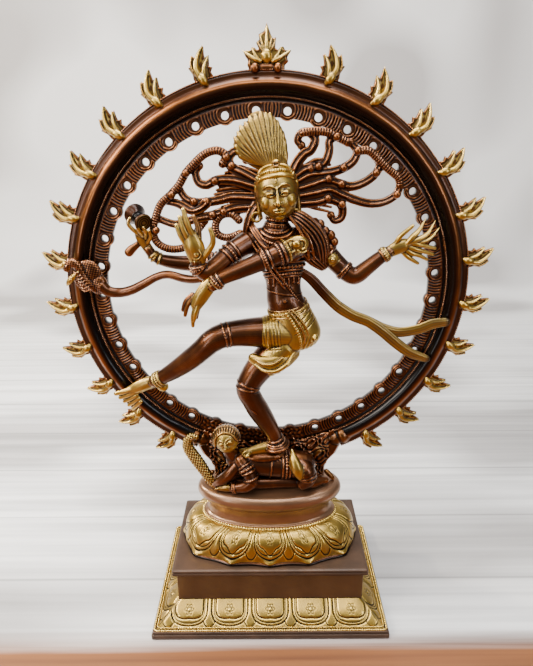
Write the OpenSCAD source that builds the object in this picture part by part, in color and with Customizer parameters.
// Dancer in a ring of flames, standing on a dwarf above a lotus base. Cast brass, part gilt, part
// brown. Millimetres, +Z up, +Y to the back, +X to the viewer's right. The origin is the centre of
// the base's underside. Castings meet on faces and are held by pegs, brazing and two studs.

/* [Pedestal] */
// Width of the bottom flange
base_w = 220; // [200:1:240]
// Depth of the bottom flange
base_d = 142; // [132:1:150]
// Height of the bottom flange's edge
flange_h = 8; // [6:0.5:10]
// Height at which the sloping petal band ends
slope_top_z = 23; // [20:0.5:28]
// Width of the recessed block
block_w = 174; // [165:1:178]
// Depth of the recessed block
block_d = 93; // [88:1:96]
// Width of the top slab
slab_w = 181.5; // [180:0.5:186]
// Depth of the top slab
slab_d = 101.3; // [100:0.1:104]
// Height of the slab's upper face
slab_top_z = 61; // [56:0.5:66]
// Thickness of the top slab
slab_t = 6; // [5:0.5:8]
// Wall of the hollow castings
wall = 4; // [3:0.5:5]

/* [Lotus and plinth] */
// Half width of the lotus at its foot
lotus_foot_x = 86; // [80:1:88]
// Half depth of the lotus at its foot
lotus_foot_y = 47; // [44:1:49]
// Half width of the lotus at its rope rim
lotus_rim_x = 63.5; // [60:0.5:66]
// Half depth of the lotus at its rope rim
lotus_rim_y = 29.5; // [28:0.5:32]
// Height of the lotus
lotus_h = 31; // [28:1:34]
// Depth radius of the oval plinth's rounded edge
plinth_y = 33.5; // [32:0.5:36]
// Width of the oval plinth for each unit of its depth
plinth_ratio = 2.06; // [1.9:0.01:2.2]
// Height of the oval plinth with its waist
plinth_h = 33; // [30:1:36]

/* [Ring] */
// Height of the ring's centre
ring_z = 313; // [310:1:316]
// Radius of the circle that the round holes lie on
hole_circle_r = 140; // [139:0.5:141]
// Number of equal steps round that circle
hole_steps = 37; // [30:1:40]
// Direction of the first hole, anticlockwise from the right
first_hole_deg = 93.3; // [92:0.1:95]
// First of the steps at the bottom that have no hole
plain_first = 16; // [15:1:18]
// Last of the steps at the bottom that have no hole
plain_last = 19; // [18:1:21]
// Diameter of a round hole
hole_d = 6; // [4:0.5:7]
// Inner radius of the rounded rail
rail_in_r = 151; // [150.5:0.5:152]
// Outer radius of the rounded rail
rail_out_r = 164; // [163:0.5:165]
// Outer radius of the thin flange outside the rail
rim_r = 168; // [167:0.5:170]
// Angle below level at which each end of the rail stops
rail_end_deg = 66; // [62:1:70]

/* [Flames] */
// Number of small flames on each side
flames_per_side = 11; // [9:1:11]
// Angle from the top to the first small flame
first_flame_deg = 16.5; // [15:0.5:18]
// Angle between small flames
flame_step_deg = 13.1; // [12:0.1:13.1]
// Height of a small flame outside the rim
flame_h = 19; // [15:1:22]
// Height of the crest outside the rim
crest_h = 28; // [24:1:32]

/* [Fasteners] */
// Radius of a fixing stud
stud_r = 4; // [3:0.5:5]
// Distance between the two fixing studs
stud_gap = 70; // [60:2:80]
// Radius of a locating peg
peg_r = 3; // [2.5:0.5:3.5]

/* [Hidden] */
RING_NODES = ["ring_rail", "ring_band", "ring_foot_left", "ring_foot_right", "crest_flame"];
BASE_NODES = ["pedestal", "lotus_cushion", "oval_plinth", "base_studs", "base_washers", "base_nuts"];
DWARF_NODES = ["dwarf_body", "dwarf_head", "dwarf_serpent", "dwarf_pegs"];
DANCER_NODES = [
    "torso", "waist_cloth", "head", "crown_fan", "hair_left", "hair_right", "earring_left",
    "earring_right", "arm_drum", "drum", "arm_blessing", "arm_across", "arm_flame", "fire",
    "leg_standing", "leg_raised", "foot_peg", "cobra", "sash_upper", "sash_lower"];
FLAME_NODES = [for (side = ["left", "right"]) for (i = [1 : flames_per_side]) str("flame_", side, "_", i)];
$fn = 96;

BROWN = [0.30, 0.15, 0.08];
BRASS = [0.76, 0.60, 0.24];
STEEL = [0.55, 0.56, 0.58];

ring_y = 6;              // middle of the ring, front to back
band_t = 6;              // thickness of the pierced band
rim_t = 8;               // thickness of the thin flange outside the rail
plinth_z = slab_top_z + lotus_h;
deck_z = plinth_z + plinth_h;
stud_len = 66;           // from the blind hole in the plinth to below the nut
stud_top_z = plinth_z + 14;
stud_clear = 0.25;       // gap round a stud in the castings it only passes through
washer_r = 9;
washer_t = 1.6;
nut_af = 13;             // nut width across its flats
nut_h = 6.5;
ball_fn = 12;            // facets round each ball that the figures are built of
lock_fn = 8;             // facets round the thin locks of hair

// ---------------------------------------------------------------- helpers

// A round-cornered link through balls, each [x, y, z, radius]
module chain(balls, flat = 1, facets = ball_fn) {
    for (i = [0 : len(balls) - 2]) hull() {
        ball(balls[i], flat, facets);
        ball(balls[i + 1], flat, facets);
    }
}

// One ball; flat squeezes it from front to back
module ball(b, flat = 1, facets = ball_fn) {
    translate([b[0], b[1], b[2]]) scale([b[3], b[3] * flat, b[3]]) sphere(1, $fn = facets);
}

// An egg with three half sizes
module egg(at, half) {
    translate(at) scale(half) sphere(1, $fn = 16);
}

// Turns a flat outline drawn in x and z into a plate from y1 back to y2
module plate(y1, y2) {
    translate([0, y2, 0]) rotate([90, 0, 0]) linear_extrude(y2 - y1) children();
}

// Puts an outline drawn round the ring's own centre in its place
module at_ring() { translate([0, ring_z]) children(); }

// A frustum with a flat top, centred, from z1 to z2
module frustum(w1, d1, z1, w2, d2, z2) {
    lower = [[-w1, -d1, 0], [w1, -d1, 0], [w1, d1, 0], [-w1, d1, 0]] / 2;
    upper = [[-w2, -d2, 0], [w2, -d2, 0], [w2, d2, 0], [-w2, d2, 0]] / 2;
    polyhedron(
        concat([for (p = lower) p + [0, 0, z1]], [for (p = upper) p + [0, 0, z2]]),
        [[0, 1, 2, 3], [7, 6, 5, 4], [0, 4, 5, 1], [1, 5, 6, 2], [2, 6, 7, 3], [3, 7, 4, 0]]);
}

module block(w, d, z1, z2) { translate([-w / 2, -d / 2, z1]) cube([w, d, z2 - z1]); }

module at_studs() { for (x = [-1, 1] * stud_gap / 2) translate([x, 0, 0]) children(); }

// ---------------------------------------------------------------- base

// Hollow box casting: flange, sloping band, recessed block and slab, open below
module pedestal() color(BROWN) difference() {
    union() {
        block(base_w, base_d, 0, flange_h);
        frustum(base_w - 8, base_d - 8, flange_h, block_w, block_d, slope_top_z);
        block(block_w, block_d, slope_top_z - 1, slab_top_z - slab_t);
        block(slab_w, slab_d, slab_top_z - slab_t, slab_top_z);
    }
    block(base_w - 2 * wall, base_d - 2 * wall, -1, flange_h - 3);
    frustum(base_w - 2 * wall, base_d - 2 * wall, flange_h - 3,
        block_w - 2 * wall, block_d - 2 * wall, slope_top_z - 3);
    block(block_w - 2 * wall, block_d - 2 * wall, slope_top_z - 3.5, slab_top_z - slab_t);
    at_studs() translate([0, 0, slab_top_z - slab_t - 1]) cylinder(r = stud_r + stud_clear, h = slab_t + 2);
}

// Half sizes and squareness of the lotus at t, 0 at its foot and 1 at its rim
function lotus_x(t) = lotus_rim_x + (lotus_foot_x - lotus_rim_x) * pow(cos(90 * t), 0.8) - 3 * sin(180 * t);
function lotus_y(t) = lotus_rim_y + (lotus_foot_y - lotus_rim_y) * pow(cos(90 * t), 0.8) - 1 * sin(180 * t);
function lotus_square(t) = 2.6 - 0.6 * t;
function lobe(a, t) = 1 - 0.035 * (1 - t) * (1 - pow(abs(cos(6 * a)), 0.7));
function super(c, n) = sign(c) * pow(abs(c), 2 / n);
function lotus_point(a, t) = lobe(a, t) * [
    lotus_x(t) * super(cos(a), lotus_square(t)),
    lotus_y(t) * super(sin(a), lotus_square(t)), 0] + [0, 0, slab_top_z + lotus_h * t];

// Swelling body with twelve lobes, lofted from oval rings
module lotus_body(rings = 8, sides = 72) {
    points = [for (k = [0 : rings]) for (j = [0 : sides - 1]) lotus_point(360 * j / sides, k / rings)];
    walls = [for (k = [0 : rings - 1]) for (j = [0 : sides - 1]) let (
        a = k * sides + j, b = k * sides + (j + 1) % sides)
        each [[a, b + sides, b], [a, a + sides, b + sides]]];
    foot = [for (j = [0 : sides - 1]) j];
    rim = [for (j = [sides - 1 : -1 : 0]) rings * sides + j];
    polyhedron(points, concat(walls, [foot], [rim]));
}

// Lotus casting, hollow from below, with the two stud holes through its closed top
module lotus_cushion() color(BRASS) difference() {
    lotus_body();
    translate([0, 0, slab_top_z - 1]) scale([1.9, 1, 1]) cylinder(r1 = 36, r2 = 25, h = lotus_h - 6);
    at_studs() translate([0, 0, slab_top_z]) cylinder(r = stud_r + stud_clear, h = lotus_h + 1);
}

// Waist and rounded oval deck; every size here is front-to-back and is widened by plinth_ratio
module plinth_form() {
    edge_r = 6.5;
    translate([0, 0, plinth_z]) scale([plinth_ratio, 1, 1]) rotate_extrude() {
        polygon([[0, 0], [27, 0], [27.5, 1.5], [26, 4], [25.6, 9], [27, 15], [30, 19], [30, 21], [0, 21]]);
        translate([plinth_y - edge_r, plinth_h - edge_r - 1]) circle(edge_r);
        square([plinth_y - edge_r, plinth_h]);
    }
}

// Peg sockets in the deck: two for the dwarf and two for the ring's feet
dwarf_peg_at = [[-20, -8], [24, -8]];
ring_peg_at = [[-42, ring_y], [42, ring_y]];
peg_depth = 9;
module at_pegs(places) { for (p = places) translate([p[0], p[1], 0]) children(); }

module oval_plinth() color(BROWN) difference() {
    plinth_form();
    at_studs() translate([0, 0, plinth_z - 1]) cylinder(r = stud_r, h = stud_top_z - plinth_z + 1);
    at_pegs(concat(dwarf_peg_at, ring_peg_at)) translate([0, 0, deck_z - peg_depth])
        cylinder(r = peg_r, h = peg_depth + 1);
}

module base_studs() color(STEEL) at_studs()
    translate([0, 0, stud_top_z - stud_len]) cylinder(r = stud_r, h = stud_len);

washer_z = slab_top_z - slab_t - washer_t;
module base_washers() color(STEEL) at_studs() translate([0, 0, washer_z]) difference() {
    cylinder(r = washer_r, h = washer_t);
    translate([0, 0, -1]) cylinder(r = stud_r + stud_clear, h = washer_t + 2);
}

module base_nuts() color(STEEL) at_studs() translate([0, 0, washer_z - nut_h]) difference() {
    cylinder(r = nut_af / sqrt(3), h = nut_h, $fn = 6);
    translate([0, 0, -1]) cylinder(r = stud_r, h = nut_h + 2);
}

// ---------------------------------------------------------------- ring

// Rounded rail with a fine ridge inside it and a thin flange outside it, open at the bottom
module ring_rail() color(BROWN)
    translate([0, ring_y, ring_z]) rotate([90, 0, 0]) rotate([0, 0, -rail_end_deg])
        rotate_extrude(angle = 180 + 2 * rail_end_deg) {
            mid_r = (rail_in_r + rail_out_r) / 2;
            translate([mid_r, 0]) circle((rail_out_r - rail_in_r) / 2);
            translate([mid_r, -rim_t / 2]) square([rim_r - mid_r, rim_t]);
            translate([hole_circle_r + 7, -band_t / 2]) square([mid_r - hole_circle_r - 7, band_t]);
        }

// Flat pierced band with a scalloped inner edge, one scallop to each step, plain at the bottom
module ring_band() color(BROWN) plate(ring_y - band_t / 2, ring_y + band_t / 2) at_ring() {
    step = 360 / hole_steps;
    difference() {
        union() {
            difference() {
                circle(hole_circle_r + 7);
                circle(hole_circle_r - 5);
            }
            for (i = [0 : hole_steps - 1]) rotate(first_hole_deg + i * step) translate([hole_circle_r, 0])
                circle(7);
        }
        for (i = [0 : hole_steps - 1]) if (i < plain_first || i > plain_last)
            rotate(first_hole_deg + i * step) translate([hole_circle_r, 0]) circle(d = hole_d);
    }
}

// Leafy foot that carries the ring on the deck, with its peg; drawn for the right side
module foot_form() {
    plate(ring_y - 5, ring_y + 5) difference() {
        polygon([[0.2, deck_z], [54, deck_z], [52, 134], [55, 142], [60, 147], [67, 152], [66, 160],
            [64, 168], [58, 180], [0.2, 180]]);
        at_ring() circle(hole_circle_r + 7);
        at_ring() rotate(-rail_end_deg) square([rim_r, 60]);
    }
    translate([ring_peg_at[1][0], ring_y, deck_z - peg_depth]) cylinder(r = peg_r, h = peg_depth + 1);
}

module ring_foot_right() color(BROWN) foot_form();
module ring_foot_left() color(BROWN) mirror([1, 0, 0]) foot_form();

// Flame outline: two pointed side lobes and a taller middle tongue that leans by lean
module flame_outline(half_w, h, lean) {
    polygon([[-0.55 * half_w, -3], [-0.95 * half_w, 0.25 * h], [-half_w, 0.62 * h], [-0.55 * half_w, 0.5 * h],
        [-0.3 * half_w + lean / 2, 0.8 * h], [lean, h], [0.35 * half_w + lean / 2, 0.75 * h],
        [0.6 * half_w, 0.5 * h], [half_w, 0.58 * h], [0.95 * half_w, 0.25 * h], [0.55 * half_w, -3]]);
}

// A small flame standing on the rim; deg is counted from the top, positive to the right
module flame(deg) color(BRASS)
    plate(ring_y - 3, ring_y + 3) at_ring() difference() {
        rotate(-deg) translate([0, rim_r]) flame_outline(7, flame_h, -sign(deg) * 3);
        circle(rim_r);
    }

// Three-lobed crest with a round boss on each side of its foot
module crest_flame() color(BRASS) {
    plate(ring_y - 3.5, ring_y + 3.5) at_ring() difference() {
        translate([0, rim_r]) union() {
            flame_outline(11, crest_h, 0);
            for (s = [-1, 1]) rotate(-38 * s) translate([3 * s, 2]) flame_outline(6, 0.75 * crest_h, 2 * s);
        }
        circle(rim_r);
    }
    for (s = [-1, 1]) translate([11 * s, ring_y, ring_z + rim_r + 2]) sphere(4.5);
}

// ---------------------------------------------------------------- dwarf

// Trunk, bed, folded leg and leaning arm
// The egg under the dancer's foot is the pad on the dwarf's back
module dwarf_form() {
    bed_z = deck_z + 0.6;
    chain([[-44, -9, bed_z + 6, 7], [-12, -9, bed_z + 8, 9], [22, -8, bed_z + 8, 9], [40, -6, bed_z + 5, 6]]);
    chain([[-30, -9, 156, 9], [-12, -9, 151, 11.5], [10, -9, 150, 12.5], [28, -8, 149, 12]]);
    chain([[28, -8, 149, 12], [38, -12, 146, 8], [31, -16, 134, 6], [42, -8, 131, 5.5], [50, -6, 131, 4.5]]);
    chain([[-24, -14, 156, 7], [-18, -19, 147, 6], [-16, -20, 138, 5.5], [-30, -18, 132, 4.5], [-44, -16, 130, 4]]);
    chain([[-30, -9, 156, 9], [-36, -12, 166, 6]]);
    egg([-5, -10.5, 161], [22, 11, 6]);
}

module dwarf_head_form() {
    hull() {
        egg([-39, -14, 180], [11.5, 11, 12]);
        egg([-39, -17, 175], [8, 8, 8]);
    }
}

module below_deck() { translate([-120, -80, deck_z - 40]) cube([240, 160, 40]); }

module dwarf_body() color(BROWN) difference() {
    dwarf_form();
    below_deck();
    dwarf_head_form();
    standing_leg_form();
    peg_holes();
}
module peg_holes() {
    at_pegs(dwarf_peg_at) translate([0, 0, deck_z - 1]) cylinder(r = peg_r, h = peg_depth + 1, $fn = 24);
    translate([foot_peg_at[0], foot_peg_at[1], foot_peg_z1]) cylinder(r = peg_r, h = foot_peg_len, $fn = 24);
}

module dwarf_head() color(BRASS) difference() {
    dwarf_head_form();
    for (i = [0 : 6]) hull() {  // curls cut round the back of the head
        ball([-39 + 13 * cos(30 * i), -8, 180 + 13 * sin(30 * i), 1.6]);
        ball([-39 + 12 * cos(30 * i), 2, 180 + 12 * sin(30 * i), 1.6]);
    }
    hull() {
        ball([-51, -6, 172, 1.2]);
        ball([-27, -6, 172, 1.2]);
    }
}

// Snake that rears beside the dwarf
module dwarf_serpent() color(BRASS) difference() {
    chain([[-54, -12, 129, 4], [-60, -11, 138, 5], [-65, -10, 148, 6], [-71, -9, 157, 6], [-74, -8, 166, 5.5],
        [-72, -8, 174, 5], [-66, -9, 180, 5], [-60, -11, 180, 4], [-56, -12, 177, 2.5]]);
    below_deck();
    dwarf_form();
}

module dwarf_pegs() color(BRASS) at_pegs(dwarf_peg_at)
    translate([0, 0, deck_z - peg_depth]) cylinder(r = peg_r, h = 2 * peg_depth);

// ---------------------------------------------------------------- dancer

// Key places of the dancer, [x, y, z] or [x, y, z, radius]
shoulder_left = [-16, -8, 357, 9.5];
shoulder_right = [31, -6, 357, 9.5];
foot_peg_at = [2, -12];
foot_peg_z1 = 150;
foot_peg_len = 24;

module torso_form() {
    hull() {
        egg([8, -9, 350], [23, 12, 12]);
        egg([11, -9, 337], [17, 11, 9]);
    }
    hull() {
        egg([11, -9, 337], [17, 11, 9]);
        egg([13, -10, 321], [12.5, 9.5, 8]);
    }
    hull() {
        egg([13, -10, 321], [12.5, 9.5, 8]);
        egg([14, -12, 306], [15.5, 11.5, 9]);
    }
    hull() {
        egg([14, -12, 306], [15.5, 11.5, 9]);
        egg([19, -10, 292], [18, 11, 10]);
    }
    chain([shoulder_left, [7, -8, 360, 8], shoulder_right]);
    chain([[7, -8, 360, 9], [7, -9, 372, 7], [7, -10, 378, 6.5]]);
}
module torso() color(BROWN) torso_form();

// Short cloth round the hips with its hanging flap
module cloth_form() {
    hull() {
        egg([15, -11, 302], [17.5, 13, 4]);
        egg([22, -10, 286], [22, 15, 10]);
    }
    hull() {
        egg([22, -10, 286], [22, 15, 10]);
        egg([12, -12, 266], [15, 13, 7]);
    }
    chain([[30, -14, 297, 5], [38, -14, 283, 5], [30, -14, 276, 4]]);
    chain([[14, -18, 262, 7], [2, -20, 256, 6], [-6, -20, 252, 4]], 0.7);
    chain([[2, -16, 290, 8], [4, -18, 276, 9]]);
}
module waist_cloth() color(BRASS) difference() {
    cloth_form();
    torso_form();
}

module standing_leg_form() {
    chain([[12, -12, 270, 14], [-2, -15, 256, 12.5], [-14, -19, 243, 11], [-19, -21, 232, 9.5],
        [-12, -19, 218, 9.5], [-4, -16, 202, 8.5], [4, -13, 186, 7], [6, -12, 177, 6.5],
        [0, -12, 171, 5.5], [-12, -14, 169, 4.5], [-22, -16, 167, 3.5]]);
    hull() {
        ball([6, -12, 173, 6]);
        ball([10, -11, 170, 5]);
    }
}
module leg_standing() color(BROWN) difference() {
    standing_leg_form();
    cloth_form();
    torso_form();
    translate([foot_peg_at[0], foot_peg_at[1], foot_peg_z1]) cylinder(r = peg_r, h = foot_peg_len, $fn = 24);
}

// Peg that holds the standing foot on the dwarf's back
module foot_peg() color(BRASS) translate([foot_peg_at[0], foot_peg_at[1], foot_peg_z1])
    cylinder(r = peg_r, h = foot_peg_len);

// Lifted leg that crosses to the left, its foot resting on the rail
module leg_raised() color(BROWN) difference() {
    union() {
        chain([[12, -12, 282, 14], [-4, -16, 283, 12.8], [-22, -20, 284, 11], [-38, -25, 283, 10],
            [-48, -26, 277, 9.5], [-62, -22, 263, 8.8], [-80, -18, 249, 7.5], [-97, -14, 239, 6],
            [-108, -12, 234, 6]]);
        chain([[-92, -14, 236, 6], [-86, -13, 231, 4]]);
        for (i = [0 : 4]) hull() {
            ball([-108 + 0.6 * i, -12, 234 - i, 5]);
            ball([-134 + 3 * i, -9, 225 - 3.6 * i, 3 - 0.25 * i]);
        }
    }
    cloth_form();
    torso_form();
    standing_leg_form();
}

// The head with its two long ear lobes
ear_x = [-7.5, 22];
ear_tip_z = 380;
module head_form() {
    hull() {
        egg([7, -11, 397], [15, 15, 15]);
        egg([7.5, -14, 384], [9, 10, 9]);
    }
    for (x = ear_x) chain([[x - sign(x - 7) * 2, -8, 393, 3], [x, -12, ear_tip_z + 2.5, 2.5]]);
}
module head() color(BRASS) difference() {
    head_form();
    torso_form();
}

// Fan of upright feathers above the brow, one tapered rib to each feather
module crown_form() {
    for (i = [-4 : 4]) hull() {
        ball([2 + 2.6 * i, -6, 413, 4.5]);
        ball([-4 + 5 * i * cos(8 * i), -4, 447 - 0.55 * i * i, 3.2], 0.9);
    }
}
module crown_fan() color(BRASS) difference() {
    crown_form();
    head_form();
}

// Flying locks: each runs from the head and ends in a curl; every point is [x, z]
left_locks = [
    [[-8, 402], [-19, 409], [-27, 413], [-29, 419], [-25, 424], [-19, 423], [-16, 418]],
    [[-8, 398], [-23, 403], [-33, 404], [-40, 403], [-47, 400], [-53, 402], [-55, 409], [-52, 414]],
    [[-8, 390], [-26, 391], [-36, 389], [-47, 387], [-57, 387], [-64, 390], [-68, 396]],
    [[-8, 384], [-24, 383], [-34, 380], [-43, 377], [-54, 375], [-64, 372], [-74, 370], [-86, 374]],
    [[-47, 387], [-52, 383], [-60, 381], [-70, 386], [-80, 388]],
    [[-34, 415], [-31, 421], [-37, 425], [-46, 423], [-54, 417], [-62, 409], [-68, 400], [-75, 393],
        [-83, 386], [-88, 376], [-91, 365], [-89, 356], [-82, 351], [-73, 350], [-64, 353], [-58, 362],
        [-50, 372]],
    [[-22, 373], [-28, 378], [-36, 377], [-41, 370], [-40, 362], [-32, 359], [-22, 362]]];
right_locks = [
    [[18, 406], [23, 416], [28, 422], [33, 425], [36, 432], [32, 437], [26, 437], [23, 432], [26, 428]],
    [[20, 405], [29, 411], [37, 412], [44, 416], [47, 424], [47, 431], [52, 434]],
    [[26, 437], [35, 438], [45, 437], [52, 434], [61, 430]],
    [[20, 401], [32, 407], [42, 408], [50, 409], [59, 412], [66, 417], [68, 424], [63, 430]],
    [[20, 396], [34, 400], [45, 403], [56, 400], [65, 398], [75, 401], [83, 407], [86, 414], [82, 420]],
    [[20, 391], [37, 394], [48, 396], [58, 392], [68, 388], [80, 385], [91, 386], [100, 391], [103, 398]],
    [[20, 386], [37, 387], [47, 389], [56, 386], [59, 380], [58, 374], [53, 372], [50, 376]],
    [[68, 424], [76, 424], [82, 420], [92, 411], [101, 404], [103, 398]]];

// Locks leave the head in front of the ring's plane and drift back towards it
module locks(all, r1, r2) {
    for (lock = all) chain([for (i = [0 : len(lock) - 1]) let (f = i / (len(lock) - 1))
        [lock[i][0], -5 + 4 * f, lock[i][1], r1 + (r2 - r1) * f]], facets = lock_fn);
}
module hair(all) color(BROWN) difference() {
    locks(all, 4, 2.6);
    head_form();
    torso_form();
    crown_form();
    arm_drum_form();
}

// Open ear ring hanging from the tip of an ear lobe
earring_r = 3.2;
wire_r = 1.1;
module earring(x) color(BRASS) translate([x, -12, ear_tip_z - earring_r - wire_r]) rotate([90, 0, 0])
    rotate_extrude() translate([earring_r, 0]) circle(wire_r);

// A hand: palm, then one chain of two joints for each finger tip in tips
module hand(wrist, palm, tips, r) {
    chain([wrist, palm]);
    for (tip = tips) {
        mid = (palm + tip) / 2 + [0, -1.5, 0, 0];
        chain([[palm[0], palm[1], palm[2], 0.75 * palm[3]], [mid[0], mid[1], mid[2], r], [tip[0], tip[1], tip[2], tip[3]]]);
    }
}

module arm_drum_form() {
    chain([[-16, -2, 354, 8], [-30, 1, 344, 7.5], [-44, 3, 338, 7], [-64, 3, 337, 6.5], [-80, 1, 339, 5.5],
        [-92, -1, 343, 4.5], [-97, -2, 350, 4]]);
    hand([-97, -2, 350, 4], [-100, -2, 358, 4.5], [[-109, -5, 368, 2], [-98, -8, 366, 2], [-94, -6, 362, 2]], 2.2);
    chain([[-104, -2, 354, 2.5], [-110, -2, 349, 3], [-114, -2, 345, 3]]);
}
module drum_form() translate([-103, -3, 373]) rotate([28, -32, 0]) rotate([90, 0, 0]) rotate_extrude()
    polygon([[0, -9], [8, -9], [8, -7], [4, -1], [4, 1], [8, 7], [8, 9], [0, 9]]);
module drum() color(BROWN) drum_form();
module arm_drum() color(BROWN) difference() {
    arm_drum_form();
    torso_form();
    drum_form();
    arm_blessing_form();
}

module arm_blessing_form() {
    chain([[-18, -11, 356, 9], [-28, -18, 350, 8], [-38, -24, 342, 7.5], [-47, -28, 338, 6.8], [-53, -30, 342, 5.5]]);
    hand([-53, -30, 342, 5.5], [-55, -31, 354, 6.5],
        [[-62, -31, 380, 2], [-66, -31, 371, 2], [-56, -31, 378, 2], [-50, -31, 375, 2], [-41, -31, 369, 2.4]], 2.8);
}
module arm_blessing() color(BROWN) difference() {
    arm_blessing_form();
    torso_form();
    arm_across_form();
}

module arm_across_form() {
    chain([[31, -9, 356, 9.5], [19, -19, 354, 8.5], [8, -24, 350, 8], [-4, -27, 345, 7.2], [-21, -30, 339, 6.3],
        [-36, -32, 334, 5.5], [-43, -33, 327, 5.2], [-49, -33, 320, 4.6]]);
    chain([[-49, -33, 320, 4.6], [-55, -33, 312, 3], [-59, -32, 304, 2.3], [-59, -32, 296, 1.9]]);
    chain([[-49, -31, 320, 4], [-57, -29, 314, 2.4], [-63, -28, 309, 2.2], [-64, -28, 303, 1.8]]);
}
module arm_across() color(BROWN) difference() {
    arm_across_form();
    torso_form();
}

module arm_flame_form() {
    chain([[34, -4, 357, 9], [46, -4, 348, 8], [56, -6, 339, 7.4], [67, -9, 327, 7], [78, -9, 335, 6.3],
        [90, -8, 343, 5.5], [98, -8, 348, 4.8]]);
    hand([98, -8, 348, 4.8], [107, -7, 351, 6],
        [[136, -3, 348, 2], [133, -3, 342, 2], [120, -6, 338, 2.2], [112, -8, 368, 2.4]], 2.8);
}
module fire_form() {
    chain([[115, -9, 357, 4.5], [121, -8, 362, 4], [127, -6, 371, 1.5]]);
    chain([[115, -9, 357, 4.5], [124, -7, 356, 4], [132, -4, 364, 1.5]]);
    chain([[115, -9, 357, 4.5], [125, -7, 361, 3.6], [134, -4, 371, 1.2]]);
}
module arm_flame() color(BROWN) difference() {
    arm_flame_form();
    torso_form();
}
module fire() color(BRASS) difference() {
    fire_form();
    arm_flame_form();
    torso_form();
}

// Snake that leaves the blessing wrist and spreads its hood against the ring
module cobra() color(BROWN) difference() {
    union() {
        chain([[-56, -22, 330, 3.5], [-66, -16, 329, 3.5], [-80, -12, 331, 3.5], [-95, -9, 326, 3.5],
            [-108, -7, 318, 4], [-121, -5, 314, 4.2], [-134, -5, 316, 5]]);
        hull() {
            egg([-136, -5, 317], [7, 4, 8]);
            egg([-146, -5, 328], [12, 4, 14]);
        }
        chain([[-146, -6, 334, 7], [-156, -7, 338, 6], [-160, -9, 331, 4]], 0.8);
    }
    arm_blessing_form();
    translate([0, ring_y, ring_z]) rotate([90, 0, 0]) rotate_extrude() ring_relief();
}
// The ring's section, used to seat what lies against it
module ring_relief() {
    translate([(rail_in_r + rail_out_r) / 2, 0]) circle((rail_out_r - rail_in_r) / 2, $fn = 24);
    translate([hole_circle_r - 8, -band_t / 2]) square([rim_r - hole_circle_r + 8, band_t]);
}

// Flying sash: one gathered strip that divides and ends on the ring in two tails
sash_stem = [[25, -8, 334, 4], [35, -8, 322, 4], [43, -8, 311, 4.5], [53, -7, 305, 5], [65, -6, 301, 5],
    [75, -6, 295, 5], [84, -6, 287, 5]];
upper_tail = [[84, -6, 287, 5], [93, -6, 282, 4.5], [104, -5, 281, 4.5], [118, -4, 284, 4.5], [134, -3, 286, 4.5],
    [150, -3.5, 286, 4]];
lower_tail = [[84, -6, 285, 5], [94, -6, 276, 4.5], [106, -5, 271, 4.5], [119, -4, 266, 4.5], [130, -3, 260, 4.5],
    [138, -3, 252, 4]];
module sash_form(balls) { chain(balls, 0.42); }
module sash_upper() color(BRASS) difference() {
    union() {
        sash_form(sash_stem);
        sash_form(upper_tail);
    }
    torso_form();
    cloth_form();
    translate([0, ring_y, ring_z]) rotate([90, 0, 0]) rotate_extrude() ring_relief();
}
module sash_lower() color(BRASS) difference() {
    sash_form(lower_tail);
    sash_form(sash_stem);
    sash_form(upper_tail);
    translate([0, ring_y, ring_z]) rotate([90, 0, 0]) rotate_extrude() ring_relief();
}

// ---------------------------------------------------------------- assembly

pedestal();
lotus_cushion();
oval_plinth();
base_studs();
base_washers();
base_nuts();
ring_rail();
ring_band();
ring_foot_left();
ring_foot_right();
crest_flame();
for (i = [1 : flames_per_side]) {
    deg = first_flame_deg + (i - 1) * flame_step_deg;
    flame(-deg);
    flame(deg);
}
dwarf_body();
dwarf_head();
dwarf_serpent();
dwarf_pegs();
torso();
waist_cloth();
head();
crown_fan();
hair(left_locks);  // hair_left
hair(right_locks);  // hair_right
earring(ear_x[0]);  // earring_left
earring(ear_x[1]);  // earring_right
arm_drum();
drum();
arm_blessing();
arm_across();
arm_flame();
fire();
leg_standing();
leg_raised();
foot_peg();
cobra();
sash_upper();
sash_lower();
